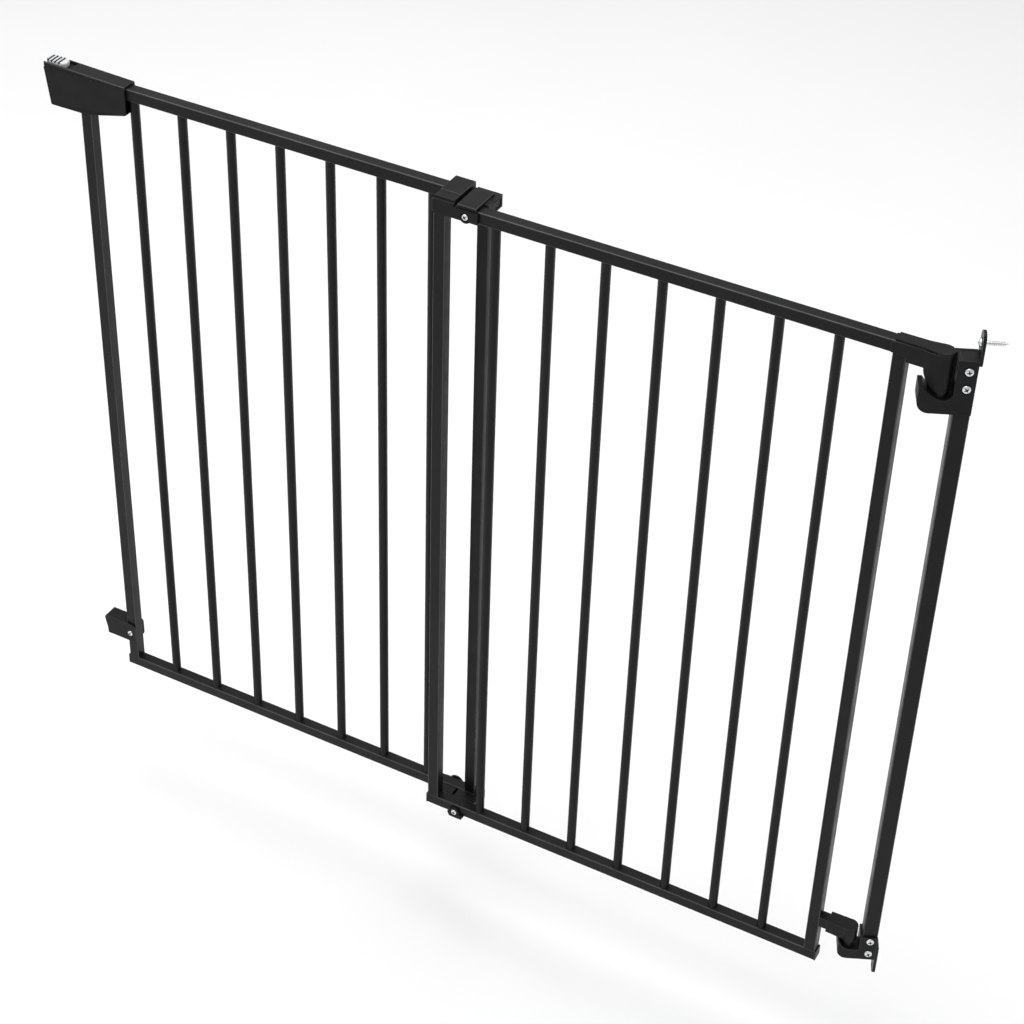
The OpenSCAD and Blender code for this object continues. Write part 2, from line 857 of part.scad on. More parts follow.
module housing_screws() {
    in_gate() for (x = housing_screw_xs)
        back_screw(x, housing_rear, housing_screw_z, 9.5);
}

// Cover over both shells, higher at the latch end, with a sunk track for the button
module latch_cover() {
    inset = 0.3;
    floor_t = 1.4;
    stem_slot_l = 8 + latch_travel + 1;
    color(plastic_black) in_gate() difference() {
        along_y(housing_front + inset, housing_rear - inset) polygon([
            [housing_left, seam_z], [housing_right, seam_z],
            [housing_right, seam_z + cover_right_h], [housing_left, seam_z + cover_left_h]
        ]);
        box([housing_left - cut, rear_y - slot_d / 2, seam_z + floor_t],
            [housing_left + slot_l, rear_y + slot_d / 2, seam_z + 10]);
        box([housing_left + 7.5, rear_y - 2.4, seam_z - cut],
            [housing_left + 7.5 + stem_slot_l, rear_y + 2.4, seam_z + 10]);
    }
}

// Thumb button: ribbed for two thirds of its length, with a stem down to the slider
module latch_button() {
    under = seam_z + 1.6;
    top = seam_z + 7;
    end_r = 5.5;
    groove_pitch = 3.1;
    x0 = housing_left + 0.4;
    color(button_grey) in_gate() {
        difference() {
            translate([0, rear_y, under]) linear_extrude(top - under) {
                translate([x0, -button_d / 2 + end_r]) square([button_l, button_d - 2 * end_r]);
                translate([x0 + end_r, -button_d / 2]) square([button_l - 2 * end_r, button_d]);
                for (x = [x0 + end_r, x0 + button_l - end_r], y = [-1, 1])
                    translate([x, y * (button_d / 2 - end_r)]) circle(r = end_r);
            }
            for (i = [0:3])
                box([x0 + 3.6 + i * groove_pitch, -big, top - 0.9],
                    [x0 + 4.9 + i * groove_pitch, big, top + cut]);
        }
        box([housing_left + 8, rear_y - 2.2, slider_top - 4],
            [housing_left + 16, rear_y + 2.2, under + 0.5]);
    }
}

module latch_slider() {
    claw_l = 4;
    claw_h = 4;
    left = housing_left + 4.2;
    half_d = housing_d / 2 - housing_wall - 0.4;
    color(plastic_black) in_gate() difference() {
        union() {
            box([left, rear_y - half_d, slider_z], [slider_right, rear_y + half_d, slider_top]);
            box([left, rear_y - 4, slider_z - claw_h], [left + claw_l, rear_y + 4, slider_z + cut]);
        }
        // pocket for the button's stem
        box([housing_left + 8, rear_y - 2.2, slider_top - 4],
            [housing_left + 16, rear_y + 2.2, slider_top + cut]);
        // seat for the spring
        translate([slider_right - 1.5, rear_y, rail_top + half]) rotate([0, 90, 0])
            cylinder(d = 6.4, h = 3);
    }
}

// Compression spring between the slider and the rail's plug, swept along a helix
module latch_spring() {
    wire_r = 0.35;
    coil_r = 2.5;
    turns = 5;
    per_turn = 14;
    sides = 6;
    x0 = slider_right - 1.4 + wire_r;
    x1 = latch_x - half - 1.9 - wire_r;
    rings = turns * per_turn;
    function helix(i) = let (a = 360 * i / per_turn)
        [x0 + (x1 - x0) * i / rings, rear_y + coil_r * cos(a), rail_top + half + coil_r * sin(a)];
    points = [for (i = [0:rings], s = [0:sides - 1])
        let (a = 360 * i / per_turn, b = 360 * s / sides)
            helix(i) + wire_r * [sin(b), cos(b) * cos(a), cos(b) * sin(a)]];
    faces = concat(
        [[for (s = [0:sides - 1]) s]],
        [for (i = [0:rings - 1], s = [0:sides - 1])
            [i * sides + s, (i + 1) * sides + s,
             (i + 1) * sides + (s + 1) % sides, i * sides + (s + 1) % sides]],
        [[for (s = [sides - 1:-1:0]) rings * sides + s]]
    );
    color(zinc) in_gate() polyhedron(points, faces);
}

wall_post();
wall_post_cap();
upper_wall_bracket();
lower_wall_bracket();
upper_wall_plate();
lower_wall_plate();
bracket_screws();
wall_screw();
upper_hinge_bush();
lower_hinge_bush();
hinge_top_rail();
hinge_bottom_rail();
hinge_left_upright();
hinge_right_upright();
for (i = [1:bars])
    in_gate() bar(lap_x, front_y, i);
hinge_rail_plugs();
upper_hinge_arm();
upper_hinge_cover();
lower_hinge_arm();
upper_hinge_pin();
lower_hinge_pin();
top_guide();
bottom_guide();
guide_screws();
width_lock_screws();
latch_top_rail();
latch_bottom_rail();
latch_left_upright();
latch_right_upright();
for (i = [1:bars])
    in_gate() bar(latch_x, rear_y, i);
latch_rail_plugs();
top_slide_cap();
bottom_slide_cap();
latch_housing_front();
latch_housing_rear();
latch_cover();
housing_screws();
catch_block();
catch_block_screw();
latch_button();
latch_slider();
latch_spring();
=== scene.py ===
"""Looks of the safety gate: rounded and welded tubes, softened mouldings, screws and materials.

Every length is in metres. Shapes are made in the gate's own frame: the origin lies on the hinge
axis, +X runs along the gate towards the wall and -Y is the front. `gate` turns that frame into the
row frame. Pieces on the wall use `wall`, whose origin is on the same axis but which isn't turned.
"""
import json
import math
import random

import bmesh
import bpy
from mathutils import Matrix, Vector, noise


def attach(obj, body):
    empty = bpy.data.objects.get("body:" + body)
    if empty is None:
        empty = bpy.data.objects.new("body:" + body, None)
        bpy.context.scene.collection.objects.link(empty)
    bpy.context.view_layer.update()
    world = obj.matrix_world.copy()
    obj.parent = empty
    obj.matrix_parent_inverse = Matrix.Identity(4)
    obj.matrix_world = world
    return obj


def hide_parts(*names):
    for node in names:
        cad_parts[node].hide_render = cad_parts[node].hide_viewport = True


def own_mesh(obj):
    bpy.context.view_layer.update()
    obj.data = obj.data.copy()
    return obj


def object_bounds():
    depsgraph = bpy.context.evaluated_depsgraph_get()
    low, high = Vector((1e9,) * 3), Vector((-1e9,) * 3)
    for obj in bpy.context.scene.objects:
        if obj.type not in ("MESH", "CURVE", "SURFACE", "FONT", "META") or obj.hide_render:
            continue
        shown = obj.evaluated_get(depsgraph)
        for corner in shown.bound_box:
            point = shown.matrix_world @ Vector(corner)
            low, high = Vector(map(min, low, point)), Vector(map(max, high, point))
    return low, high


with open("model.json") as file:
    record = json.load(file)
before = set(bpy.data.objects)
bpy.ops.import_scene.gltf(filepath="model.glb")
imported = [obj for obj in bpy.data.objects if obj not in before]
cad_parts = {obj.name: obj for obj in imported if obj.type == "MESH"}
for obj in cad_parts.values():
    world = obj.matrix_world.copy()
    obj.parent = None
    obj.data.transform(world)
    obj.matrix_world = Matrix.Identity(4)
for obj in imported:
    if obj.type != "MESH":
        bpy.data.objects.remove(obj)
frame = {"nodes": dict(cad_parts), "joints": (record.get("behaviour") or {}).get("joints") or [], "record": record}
cad_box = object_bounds()
MM = 0.001
X, Y, Z = 0, 1, 2
joints = {j["name"]: j for j in frame["joints"]}
hinge_at = Vector(joints["swing"]["pos_m"])
along = Vector(joints["width"]["axis"]).normalized()
wall = Matrix.Translation((hinge_at.x, hinge_at.y, 0))
gate = wall @ Matrix.Rotation(math.atan2(along.y, along.x), 4, "Z")


# ------------------------------------------------------------------ materials

def material(name, base, roughness, metallic=0.0, specular=0.5):
    """A new node material and the few nodes that every material here starts from."""
    made = bpy.data.materials.new(name)
    made.use_nodes = True
    tree = made.node_tree
    shader = tree.nodes["Principled BSDF"]
    shader.inputs["Base Color"].default_value = (*base, 1)
    shader.inputs["Roughness"].default_value = roughness
    shader.inputs["Metallic"].default_value = metallic
    shader.inputs["Specular IOR Level"].default_value = specular
    place = tree.nodes.new("ShaderNodeTexCoord")
    return made, tree, shader, place.outputs["Object"]


def noise_node(tree, place, scale, detail, rough=0.5):
    """Cloudy noise; scale counts its cells per metre."""
    made = tree.nodes.new("ShaderNodeTexNoise")
    made.inputs["Scale"].default_value = scale
    made.inputs["Detail"].default_value = detail
    made.inputs["Roughness"].default_value = rough
    tree.links.new(place, made.inputs["Vector"])
    return made.outputs["Fac"]


def remap(tree, value, low, high):
    """Stretches the middle of the noise's range over low to high."""
    made = tree.nodes.new("ShaderNodeMapRange")
    made.inputs["From Min"].default_value = 0.3
    made.inputs["From Max"].default_value = 0.7
    made.inputs["To Min"].default_value = low
    made.inputs["To Max"].default_value = high
    tree.links.new(value, made.inputs["Value"])
    return made.outputs["Result"]


def vary_colour(tree, shader, value, dark, light):
    """Lets the base colour drift between two tones with the noise."""
    mix = tree.nodes.new("ShaderNodeMix")
    mix.data_type = "RGBA"
    mix.inputs["A"].default_value = (*dark, 1)
    mix.inputs["B"].default_value = (*light, 1)
    tree.links.new(remap(tree, value, 0, 1), mix.inputs["Factor"])
    tree.links.new(mix.outputs["Result"], shader.inputs["Base Color"])


def vary_gloss(tree, shader, value, low, high):
    """Lets the roughness drift between two values with the noise."""
    tree.links.new(remap(tree, value, low, high), shader.inputs["Roughness"])


def bump(tree, height, strength, distance, under=None):
    """Surface relief; `under` is a coarser relief that this one lies on."""
    made = tree.nodes.new("ShaderNodeBump")
    made.inputs["Strength"].default_value = strength
    made.inputs["Distance"].default_value = distance
    tree.links.new(height, made.inputs["Height"])
    if under is not None:
        tree.links.new(under, made.inputs["Normal"])
    return made.outputs["Normal"]


def powder_coat(name, dark, light, roughness, specular):
    """Satin black powder coat: orange peel over faint cloudiness."""
    made, tree, shader, place = material(name, light, roughness, 0, specular)
    vary_colour(tree, shader, noise_node(tree, place, scale=22, detail=3), dark, light)
    vary_gloss(tree, shader, noise_node(tree, place, scale=60, detail=3),
               roughness - 0.05, roughness + 0.07)
    peel = noise_node(tree, place, scale=620, detail=1.5)
    grain = noise_node(tree, place, scale=2600, detail=1)
    coarse = bump(tree, peel, strength=0.30, distance=0.12 * MM)
    fine = bump(tree, grain, strength=0.18, distance=0.04 * MM, under=coarse)
    tree.links.new(fine, shader.inputs["Normal"])
    return made


def moulded_plastic(name, dark, light, roughness, specular):
    """Spark-eroded black moulding: fine grain with soft flow shading."""
    made, tree, shader, place = material(name, light, roughness, 0, specular)
    vary_colour(tree, shader, noise_node(tree, place, scale=30, detail=4), dark, light)
    vary_gloss(tree, shader, noise_node(tree, place, scale=90, detail=2),
               roughness - 0.05, roughness + 0.08)
    grain = tree.nodes.new("ShaderNodeTexVoronoi")
    grain.inputs["Scale"].default_value = 1900
    tree.links.new(place, grain.inputs["Vector"])
    coarse = bump(tree, noise_node(tree, place, scale=1100, detail=2), strength=0.25,
                  distance=0.08 * MM)
    fine = bump(tree, grain.outputs["Distance"], strength=0.35, distance=0.05 * MM, under=coarse)
    tree.links.new(fine, shader.inputs["Normal"])
    return made


def button_plastic(name, dark, light):
    """Moulding with a light stipple and faint handling marks."""
    made, tree, shader, place = material(name, light, 0.38, 0, 0.45)
    marks = noise_node(tree, place, scale=240, detail=4, rough=0.6)
    vary_colour(tree, shader, marks, dark, light)
    vary_gloss(tree, shader, marks, 0.32, 0.46)
    stipple = noise_node(tree, place, scale=1700, detail=2)
    tree.links.new(bump(tree, stipple, strength=0.22, distance=0.06 * MM), shader.inputs["Normal"])
    return made


def zinc_plate(name, dark, light):
    """Zinc plate of uneven gloss with a few dull patches."""
    made, tree, shader, place = material(name, light, 0.22, 1.0, 0.5)
    patches = noise_node(tree, place, scale=420, detail=3)
    vary_colour(tree, shader, patches, dark, light)
    vary_gloss(tree, shader, patches, 0.16, 0.34)
    grain = noise_node(tree, place, scale=2200, detail=2)
    tree.links.new(bump(tree, grain, strength=0.2, distance=0.03 * MM), shader.inputs["Normal"])
    return made


def black_nylon(name, dark, light):
    """The bushes: slightly waxy, a touch browner than the mouldings."""
    made, tree, shader, place = material(name, light, 0.4, 0, 0.3)
    vary_colour(tree, shader, noise_node(tree, place, scale=300, detail=3), dark, light)
    grain = noise_node(tree, place, scale=1500, detail=2)
    tree.links.new(bump(tree, grain, strength=0.2, distance=0.05 * MM), shader.inputs["Normal"])
    return made


def pale_floor(name, dark, light):
    """Matt studio floor with a barely visible drift in tone."""
    made, tree, shader, place = material(name, light, 0.9, 0, 0.2)
    vary_colour(tree, shader, noise_node(tree, place, scale=3, detail=2), dark, light)
    return made


def grey(level):
    return (level, level, level)


COAT = powder_coat("powder_coat", dark=(0.0048, 0.0048, 0.0052), light=(0.0078, 0.0078, 0.0082),
                   roughness=0.38, specular=0.17)
# Paler, glossier copies of the coat and the moulding for rounded edges: a painted highlight along each edge.
COAT_EDGE_HIGHLIGHT = powder_coat("powder_coat_edge_painted_highlight", dark=(0.030, 0.030, 0.031), light=(0.055, 0.055, 0.057),
                        roughness=0.30, specular=0.4)
PLASTIC = moulded_plastic("moulded_plastic", dark=(0.0050, 0.0050, 0.0054),
                          light=(0.0085, 0.0085, 0.0090), roughness=0.45, specular=0.16)
PLASTIC_EDGE_HIGHLIGHT = moulded_plastic("moulded_plastic_edge_painted_highlight", dark=(0.022, 0.022, 0.023),
                               light=(0.042, 0.042, 0.044), roughness=0.36, specular=0.35)
HIGHLIGHT_OF = {COAT.name: COAT_EDGE_HIGHLIGHT, PLASTIC.name: PLASTIC_EDGE_HIGHLIGHT}
BUTTON = button_plastic("button_plastic", dark=(0.46, 0.47, 0.48), light=(0.60, 0.61, 0.62))
# Near-black copy of the button plastic for the groove walls: painted shade inside the grooves.
GROOVE_SHADE = button_plastic("button_groove_painted_shade", dark=(0.014, 0.014, 0.015), light=(0.024, 0.024, 0.025))
ZINC = zinc_plate("zinc_plate", dark=(0.70, 0.71, 0.73), light=(0.86, 0.87, 0.88))
# Dark copy of the zinc for the cross recess: painted shade in the recess.
RECESS_SHADE = zinc_plate("zinc_recess_painted_shade", dark=(0.05, 0.05, 0.055), light=(0.10, 0.10, 0.11))
NYLON = black_nylon("black_nylon", dark=(0.009, 0.0088, 0.0085), light=(0.016, 0.0155, 0.015))
FLOOR = pale_floor("pale_floor", dark=grey(0.895), light=grey(0.91))


# ------------------------------------------------------------------ mesh tools

def corners(points):
    """Lowest and highest corner of the box round the points."""
    low = Vector([min(p[i] for p in points) for i in range(3)])
    high = Vector([max(p[i] for p in points) for i in range(3)])
    return low, high


def box_in(node, space):
    """The box of a CAD node, measured in the gate's or the wall's frame."""
    back = space.inverted()
    return corners([back @ v.co for v in frame["nodes"][node].data.vertices])


def solids_in(node, space):
    """The same for each separate solid of a node, sorted from low to high."""
    bm = bmesh.new()
    bm.from_mesh(frame["nodes"][node].data)
    bmesh.ops.remove_doubles(bm, verts=bm.verts, dist=0.001 * MM)
    back = space.inverted()
    left = set(bm.verts)
    found = []
    while left:
        todo = [left.pop()]
        group = []
        while todo:
            vert = todo.pop()
            group.append(back @ vert.co)
            for edge in vert.link_edges:
                other = edge.other_vert(vert)
                if other in left:
                    left.remove(other)
                    todo.append(other)
        found.append(corners(group))
    bm.free()
    return sorted(found, key=lambda pair: (round(pair[0].z, 4), round(pair[0].x, 4)))


def body_of_node(node):
    bodies = frame["record"]["behaviour"]["bodies"]
    return next(body for body, nodes in bodies.items() if node in nodes)


def piece_name(node):
    return node.replace("_", "-")


def new_piece(bm, name, space, node, surfaces, smooth_angle):
    """Turns a bmesh drawn in `space` into a piece on the same body as a CAD node."""
    bmesh.ops.recalc_face_normals(bm, faces=bm.faces)
    mesh = bpy.data.meshes.new(name)
    bm.to_mesh(mesh)
    bm.free()
    mesh.transform(space)
    mesh.shade_smooth()
    mesh.set_sharp_from_angle(angle=math.radians(smooth_angle))
    for surface in surfaces:
        mesh.materials.append(surface)
    piece = bpy.data.objects.new(name, mesh)
    bpy.context.scene.collection.objects.link(piece)
    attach(piece, body_of_node(node))
    return piece


def finish_piece(bm, name, space, node, surfaces, smooth_angle=40):
    """A new piece that stands for the CAD node."""
    piece = new_piece(bm, name, space, node, surfaces, smooth_angle)
    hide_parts(node)
    return piece


def weighted_normals(piece):
    """Keeps big flat faces flat beside their small bevels."""
    mod = piece.modifiers.new("weighted", "WEIGHTED_NORMAL")
    mod.keep_sharp = True
    return piece


def is_sharp(edge, degrees=30):
    return len(edge.link_faces) == 2 and edge.calc_face_angle(0) > math.radians(degrees)


def is_convex(edge):
    return len(edge.link_faces) == 2 and edge.calc_face_angle_signed(0) > 0


def round_off(bm, edges, radius, segments):
    """Bevels edges and gives the new strip the paler edge material, a painted highlight along the edge."""
    if edges:
        made = bmesh.ops.bevel(bm, geom=edges, offset=radius, segments=segments, profile=0.5,
                               affect="EDGES", clamp_overlap=True)
        for face in made["faces"]:
            face.material_index = 1


def soften(node, space, surface, rounds, rest=0.25 * MM):
    """A copy of a CAD node with rounded edges, whose rounded strips carry a painted highlight.

    rounds is a list of (radius, test); test(a, b, low, high) picks edges by their two ends and the
    node's box, all in `space`. Every other convex sharp edge gets the small radius `rest`.
    """
    bm = bmesh.new()
    bm.from_mesh(frame["nodes"][node].data)
    bmesh.ops.transform(bm, matrix=space.inverted(), verts=bm.verts)
    bmesh.ops.remove_doubles(bm, verts=bm.verts, dist=0.002 * MM)
    bmesh.ops.dissolve_limit(bm, angle_limit=math.radians(0.5), verts=bm.verts, edges=bm.edges)
    bmesh.ops.recalc_face_normals(bm, faces=bm.faces)
    low, high = corners([v.co for v in bm.verts])
    for radius, test in rounds:
        picked = [e for e in bm.edges if is_sharp(e) and is_convex(e)
                  and test(e.verts[0].co, e.verts[1].co, low, high)]
        round_off(bm, picked, radius, 4)
    round_off(bm, [e for e in bm.edges if is_sharp(e, 50) and is_convex(e)], rest, 2)
    return weighted_normals(
        finish_piece(bm, piece_name(node), space, node, [surface, HIGHLIGHT_OF[surface.name]]))


# Edge tests for soften

NEAR = 0.06 * MM  # how close to a face of the box counts as on it


def touches(axis, side, both=True):
    """Edges with both ends (or either end) on one face of the node's box."""
    def test(a, b, low, high):
        level = low[axis] if side < 0 else high[axis]
        on = [abs(p[axis] - level) < NEAR for p in (a, b)]
        return all(on) if both else any(on)
    return test


def along_axis(axis):
    """Edges that run along one axis."""
    def test(a, b, low, high):
        way = (b - a).normalized()
        return abs(way[axis]) > 0.999
    return test


def either(*tests):
    return lambda *args: any(t(*args) for t in tests)


def both_of(*tests):
    return lambda *args: all(t(*args) for t in tests)


def rim(radius, side):
    """The rim of the front (-1) or back (1) face."""
    return (radius, touches(Y, side))


def outline(radius, side):
    """The edges that run along Y from the front (-1) or back (1) face."""
    return (radius, both_of(along_axis(Y), touches(Y, side, False)))


def rim_and_outline(radius, side):
    return (radius, either(rim(radius, side)[1], outline(radius, side)[1]))


# ------------------------------------------------------------------ tubes and bars

def rounded_square(half_a, half_b, radius, steps=5):
    """Outline of a rectangle with round corners, anticlockwise."""
    points = []
    for quarter in range(4):
        turn = math.pi / 2 * quarter
        sign_a = 1 if quarter in (0, 3) else -1
        sign_b = 1 if quarter in (0, 1) else -1
        for step in range(steps + 1):
            angle = turn + math.pi / 2 * step / steps
            points.append((sign_a * (half_a - radius) + radius * math.cos(angle),
                           sign_b * (half_b - radius) + radius * math.sin(angle)))
    return points


def bridge(bm, ring_a, ring_b):
    """Joins two closed rings of the same length with a band of faces."""
    count = len(ring_a)
    for i in range(count):
        j = (i + 1) % count
        bm.faces.new((ring_a[i], ring_a[j], ring_b[j], ring_b[i]))


def bridge_all(bm, rings):
    for first, second in zip(rings, rings[1:]):
        bridge(bm, first, second)


def square_tube(node, axis, space=gate, wall_t=1.0 * MM, corner=1.3 * MM):
    """A hollow square tube with round corners, from end to end of the CAD node."""
    low, high = box_in(node, space)
    centre = (low + high) / 2
    across = [i for i in range(3) if i != axis]
    half_a = (high - low)[across[0]] / 2
    half_b = (high - low)[across[1]] / 2
    inner_corner = corner * 0.4
    break_edge = 0.15 * MM
    bm = bmesh.new()

    def ring(inset, level, radius):
        made = []
        for a, b in rounded_square(half_a - inset, half_b - inset, radius):
            point = Vector(centre)
            point[across[0]] += a
            point[across[1]] += b
            point[axis] = level
            made.append(bm.verts.new(point))
        return made

    rings = [
        ring(wall_t, low[axis] + break_edge, inner_corner),
        ring(wall_t, low[axis], inner_corner),
        ring(break_edge, low[axis], corner),
        ring(0, low[axis] + break_edge, corner),
        ring(0, high[axis] - break_edge, corner),
        ring(break_edge, high[axis], corner),
        ring(wall_t, high[axis], inner_corner),
        ring(wall_t, high[axis] - break_edge, inner_corner),
    ]
    bridge_all(bm, rings)
    bridge(bm, rings[-1], rings[0])
    bm.normal_update()
    # Faces on the round corners get the paler material: a painted highlight along each corner.
    for face in bm.faces:
        slant = sorted(abs(c) for c in face.normal)
        if slant[1] > 0.3:
            face.material_index = 1
    return weighted_normals(
        finish_piece(bm, piece_name(node), space, node, [COAT, COAT_EDGE_HIGHLIGHT]))


def lathe(bm, centre, profile, sides=40):
    """Turns (radius, height) pairs about the upright axis through centre."""
    rings = []
    for radius, height in profile:
        ring = []
        for i in range(sides):
            angle = 2 * math.pi * i / sides
            point = Vector((math.cos(angle), math.sin(angle), 0)) * radius
            ring.append(bm.verts.new(centre + point + Vector((0, 0, height))))
        rings.append(ring)
    bridge_all(bm, rings)
    return rings


def round_bar(node):
    """A hollow bar with a fillet of weld round each end."""
    low, high = box_in(node, gate)
    radius = (high - low).x / 2
    bore = radius - 0.8 * MM
    length = high.z - low.z
    foot = Vector(((low.x + high.x) / 2, (low.y + high.y) / 2, low.z))
    fillet = 1.0 * MM
    steps = 5
    bottom = []
    for i in range(steps + 1):
        angle = math.pi / 2 * i / steps
        bottom.append((radius + fillet * (1 - math.sin(angle)), fillet * (1 - math.cos(angle))))
    top = [(r, length - h) for r, h in reversed(bottom)]
    bm = bmesh.new()
    rings = lathe(bm, foot, [(bore, 0)] + bottom + top + [(bore, length)])
    bridge(bm, rings[-1], rings[0])
    return finish_piece(bm, piece_name(node), gate, node, [COAT], 60)


def weld_bead(name, points, radius, node):
    """An uneven bead of weld along points, in the gate's frame, painted with the tubes."""
    sides = 8
    end_size = 0.45
    last = len(points) - 1
    bm = bmesh.new()
    rings = []
    for k, point in enumerate(points):
        way = (points[min(k + 1, last)] - points[max(k - 1, 0)]).normalized()
        side = way.cross(Vector((0, 0, 1))).normalized()
        up = side.cross(way)
        size = 1 + 0.16 * math.sin(k * 2.1) + 0.2 * noise.noise(point * 900)
        if k in (0, last):
            size *= end_size
        ring = []
        for s in range(sides):
            angle = 2 * math.pi * s / sides
            out = side * math.cos(angle) + up * math.sin(angle)
            ring.append(bm.verts.new(point + out * radius * size))
        rings.append(ring)
    bridge_all(bm, rings)
    bm.faces.new(rings[0])
    bm.faces.new(rings[-1])
    return new_piece(bm, name, gate, node, [COAT], 180)


def upright_welds(node):
    """Beads across the left and right faces of an upright, at the rails."""
    low, high = box_in(node, gate)
    inset = 1.6 * MM
    steps = 14
    for end, z in (("foot", low.z), ("head", high.z)):
        for side, x in (("left", low.x), ("right", high.x)):
            run = high.y - low.y - 2 * inset
            points = [Vector((x, low.y + inset + run * i / steps, z)) for i in range(steps + 1)]
            weld_bead(f"{piece_name(node)}-weld-{end}-{side}", points, 0.75 * MM, node)


def tubes():
    for side in ("hinge", "latch"):
        for rail in ("top_rail", "bottom_rail"):
            square_tube(f"{side}_{rail}", X)
        for upright in ("left_upright", "right_upright"):
            square_tube(f"{side}_{upright}", Z)
            upright_welds(f"{side}_{upright}")
        for number in range(1, 8):
            round_bar(f"{side}_bar_{number}")
    square_tube("wall_post", Z, wall, wall_t=1.2 * MM, corner=1.4 * MM)


# ------------------------------------------------------------------ screws

# Diameter and height of each kind of head
LARGE_HEAD = (8 * MM, 2.3 * MM)
SMALL_HEAD = (6.6 * MM, 2 * MM)
WALL_HEAD = (8.4 * MM, 2.5 * MM)


def dome_height(head_d, head_h, radius):
    """Height of a pan head's surface at a distance from its middle."""
    part = min(1.0, radius / (head_d / 2))
    return head_h * (0.35 + 0.65 * math.sqrt(max(0.0, 1 - part ** 3)))


def screw_mesh(head_d, head_h, shank_d, shank_l, threaded):
    """Pan-head screw along +Z, underside of the head at z = 0."""
    head_r = head_d / 2
    shank_r = shank_d / 2
    steps = 9
    profile = []
    for i in range(steps + 1):
        profile.append((head_r * max(i, 0.001) / steps,
                        dome_height(head_d, head_h, head_r * i / steps)))
    profile += [(head_r, head_h * 0.12), (head_r - 0.2 * MM, 0)]
    profile += [(shank_r, 0), (shank_r, -0.4 * MM)]
    if threaded:
        profile += [(shank_r * 0.68, 4.5 * MM - shank_l), (0.12 * MM, -shank_l)]
    else:
        profile += [(shank_r, 0.5 * MM - shank_l), (shank_r - 0.4 * MM, -shank_l)]
    bm = bmesh.new()
    rings = lathe(bm, Vector((0, 0, 0)), profile, 32)
    bm.faces.new(rings[0])
    bm.faces.new(rings[-1])
    bmesh.ops.recalc_face_normals(bm, faces=bm.faces)
    return bm


def cross_recess(depth, reach, top):
    """Cutter for a cross recess: two crossed wedges that narrow downwards."""
    levels = ((top + 0.5 * MM, reach, 0.70 * MM),
              (top - depth, reach * 0.42, 0.40 * MM))
    bm = bmesh.new()
    for turn in (0, math.pi / 2):
        spin = Matrix.Rotation(turn, 4, "Z")
        rows = []
        for z, half_l, half_w in levels:
            ends = ((half_l, half_w), (-half_l, half_w), (-half_l, -half_w), (half_l, -half_w))
            rows.append([bm.verts.new(spin @ Vector((a, b, z))) for a, b in ends])
        bridge(bm, rows[0], rows[1])
        bm.faces.new(rows[0])
        bm.faces.new(list(reversed(rows[1])))
    bmesh.ops.recalc_face_normals(bm, faces=bm.faces)
    return bm


def minus(target_bm, cutter_bm):
    """target minus cutter, as a new bmesh. Both are used up."""
    objects = []
    for label, bm in (("target", target_bm), ("cutter", cutter_bm)):
        mesh = bpy.data.meshes.new(label)
        bm.to_mesh(mesh)
        bm.free()
        made = bpy.data.objects.new(label, mesh)
        bpy.context.scene.collection.objects.link(made)
        objects.append(made)
    mod = objects[0].modifiers.new("cut", "BOOLEAN")
    mod.operation = "DIFFERENCE"
    mod.solver = "EXACT"
    mod.use_self = True
    mod.object = objects[1]
    bpy.context.view_layer.update()
    result = objects[0].evaluated_get(bpy.context.evaluated_depsgraph_get())
    out = bmesh.new()
    out.from_mesh(result.to_mesh())
    for made in objects:
        mesh = made.data
        bpy.data.objects.remove(made)
        bpy.data.meshes.remove(mesh)
    return out


def thread(bm, shank_d, shank_l, pitch):
    """A sharp helical ridge wound round the shank, fading out at both ends."""
    outer = shank_d / 2
    core = outer * 0.66
    half_root = pitch * 0.3
    per_turn = 20
    start = -5 * MM
    end = 1 * MM - shank_l
    count = int((start - end) / pitch * per_turn)
    rows = []
    for i in range(count + 1):
        angle = 2 * math.pi * i / per_turn
        z = start - pitch * i / per_turn
        fade = min(1.0, (z - end + 0.4 * MM) / (4 * MM), (start - z + 0.6 * MM) / (2 * MM))
        crest = core * 0.5 + (outer - core * 0.5) * max(fade, 0.12)
        root = min(core, crest) * 0.9
        way = Vector((math.cos(angle), math.sin(angle), 0))
        section = ((root, z + half_root), (crest, z), (root, z - half_root))
        rows.append([bm.verts.new(way * r + Vector((0, 0, height))) for r, height in section])
    bridge_all(bm, rows)
    bm.faces.new(rows[0])
    bm.faces.new(rows[-1])


def place_screw(name, node, space, seat, way, spin, head, shank_d, shank_l, threaded=False):
    """A screw whose head's underside lies at seat and whose head points along way."""
    head_d, head_h = head
    cutter = cross_recess(head_h * 0.8, head_d * 0.33, head_h)
    bm = minus(screw_mesh(head_d, head_h, shank_d, shank_l, threaded), cutter)
    # Faces sunk in the cross recess get the dark zinc: painted shade in the recess.
    for face in bm.faces:
        middle = face.calc_center_median()
        reach = middle.xy.length
        sunk = dome_height(head_d, head_h, reach) - middle.z
        if sunk > 0.12 * MM and reach < head_d * 0.34 and middle.z > 0:
            face.material_index = 1
    if threaded:
        thread(bm, shank_d, shank_l, 1.9 * MM)
    turn = Vector(way).to_track_quat("Z", "Y").to_matrix().to_4x4()
    bmesh.ops.transform(bm, verts=bm.verts,
                        matrix=Matrix.Translation(seat) @ turn @ Matrix.Rotation(spin, 4, "Z"))
    return finish_piece(bm, name, space, node, [ZINC, RECESS_SHADE], 35)


